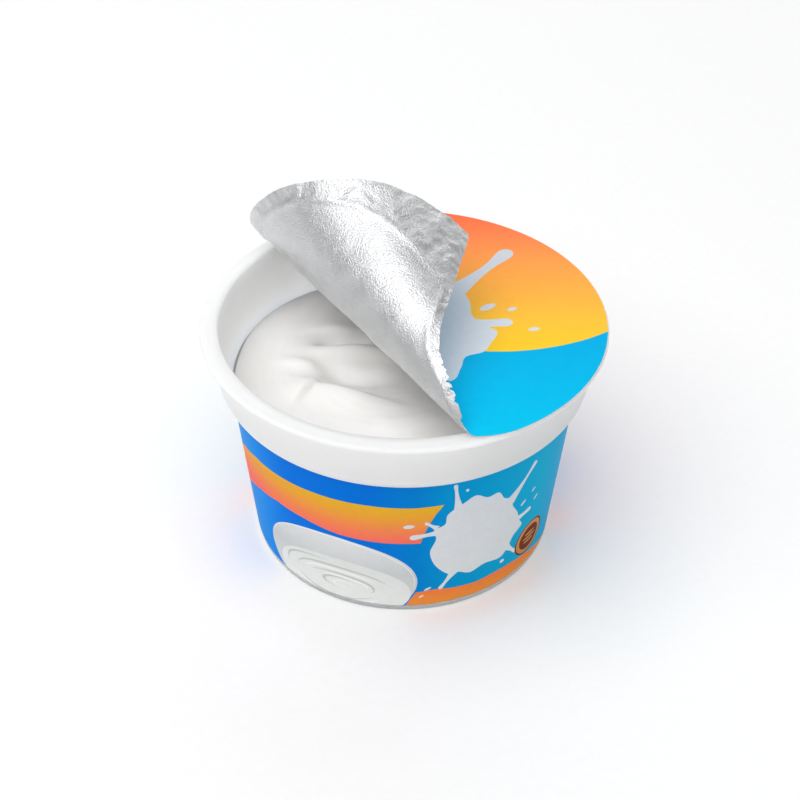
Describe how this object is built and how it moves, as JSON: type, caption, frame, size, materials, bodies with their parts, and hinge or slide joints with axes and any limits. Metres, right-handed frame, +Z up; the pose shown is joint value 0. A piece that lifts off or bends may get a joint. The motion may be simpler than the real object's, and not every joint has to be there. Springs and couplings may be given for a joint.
{
  "type": "yogurt pot",
  "caption": "Single-serve round yogurt pot with a wide flange, a printed wall film, spooned yogurt inside and a foil lid peeled halfway and curled back.",
  "frame": {"origin": "centre of the pot's underside, on the surface it stands on", "axes": "+Z up along the pot's axis, -Y towards the viewer, with the lid sealed on the +X side and peeled on the -X side"},
  "size_m": [0.086, 0.086, 0.0805],
  "materials": {
    "cup": "white injection-moulded polypropylene, satin gloss",
    "film": "glossy printed film, fields of blue and orange",
    "yogurt": "set yogurt, smooth and moist",
    "foil": "embossed aluminium foil, silver underneath and printed on top"
  },
  "bodies": {
    "root": {"cup": "cup", "film_label": "film", "yogurt": "yogurt", "foil_lid": "foil"}
  },
  "joints": []
}
